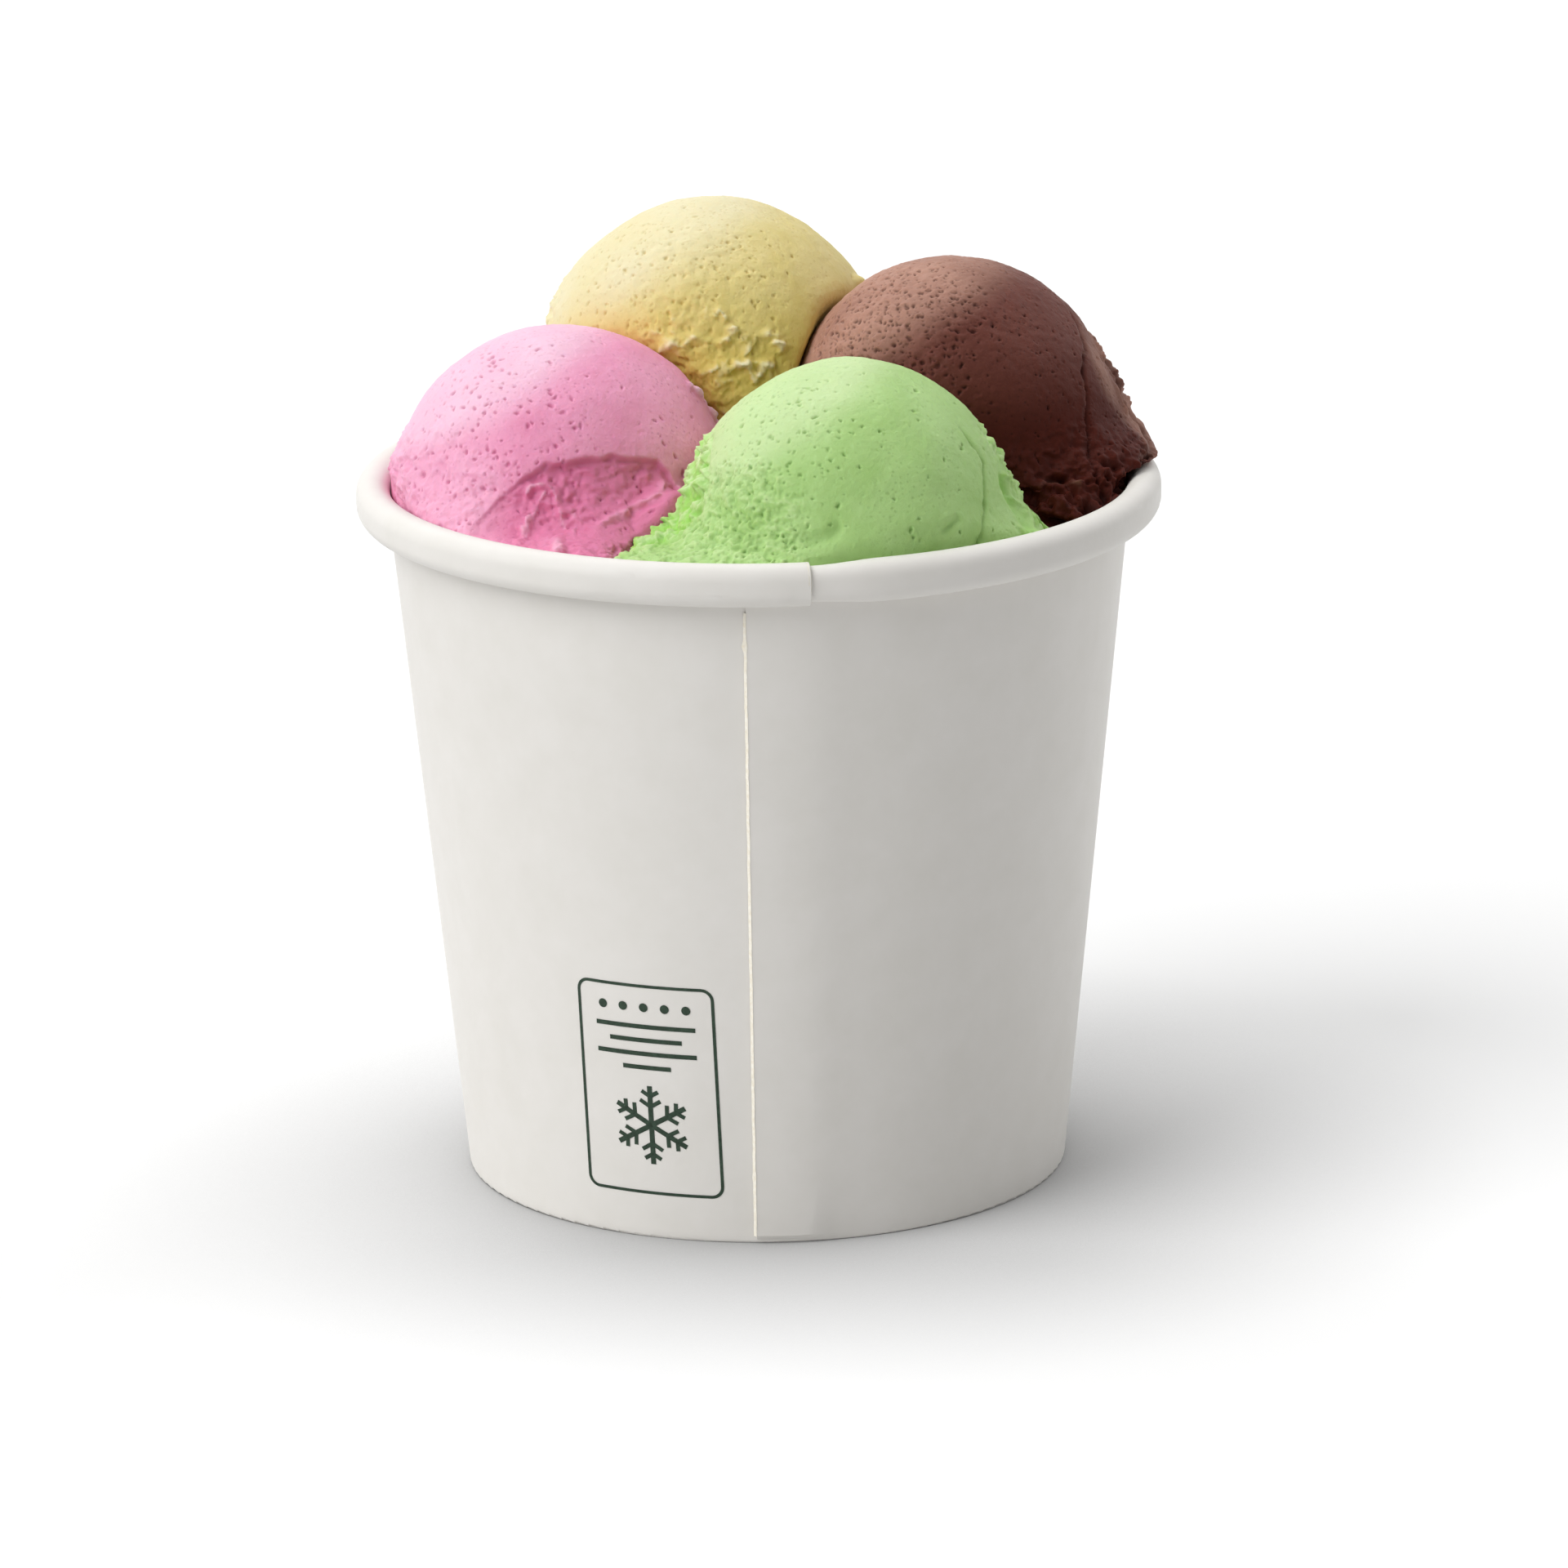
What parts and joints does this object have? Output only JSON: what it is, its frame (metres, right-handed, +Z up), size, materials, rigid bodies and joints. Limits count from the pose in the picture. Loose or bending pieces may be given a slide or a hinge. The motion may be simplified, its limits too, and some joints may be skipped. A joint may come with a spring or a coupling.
{
  "type": "paper ice cream cup",
  "caption": "Rolled-rim paper cup with a lapped side seam and a recessed base, filled with pressed-together scoops of ice cream heaped above the rim.",
  "frame": {"origin": "middle of the cup's foot, on the surface it stands on", "axes": "+Z up the cup's axis, -Y towards the front, where the side seam is, +X to the right"},
  "size_m": [0.0954, 0.095, 0.1121],
  "materials": {
    "cup_board": "coated white cup board, satin",
    "base_board": "coated white cup board, satin",
    "vanilla_ice_cream": "frozen, finely pitted",
    "chocolate_ice_cream": "frozen, finely pitted",
    "strawberry_ice_cream": "frozen, finely pitted",
    "pistachio_ice_cream": "frozen, finely pitted"
  },
  "bodies": {
    "root": {"cup_sidewall": "cup_board", "cup_base": "base_board", "scoop_vanilla": "vanilla_ice_cream", "scoop_chocolate": "chocolate_ice_cream", "scoop_strawberry": "strawberry_ice_cream", "scoop_pistachio": "pistachio_ice_cream"}
  },
  "joints": []
}
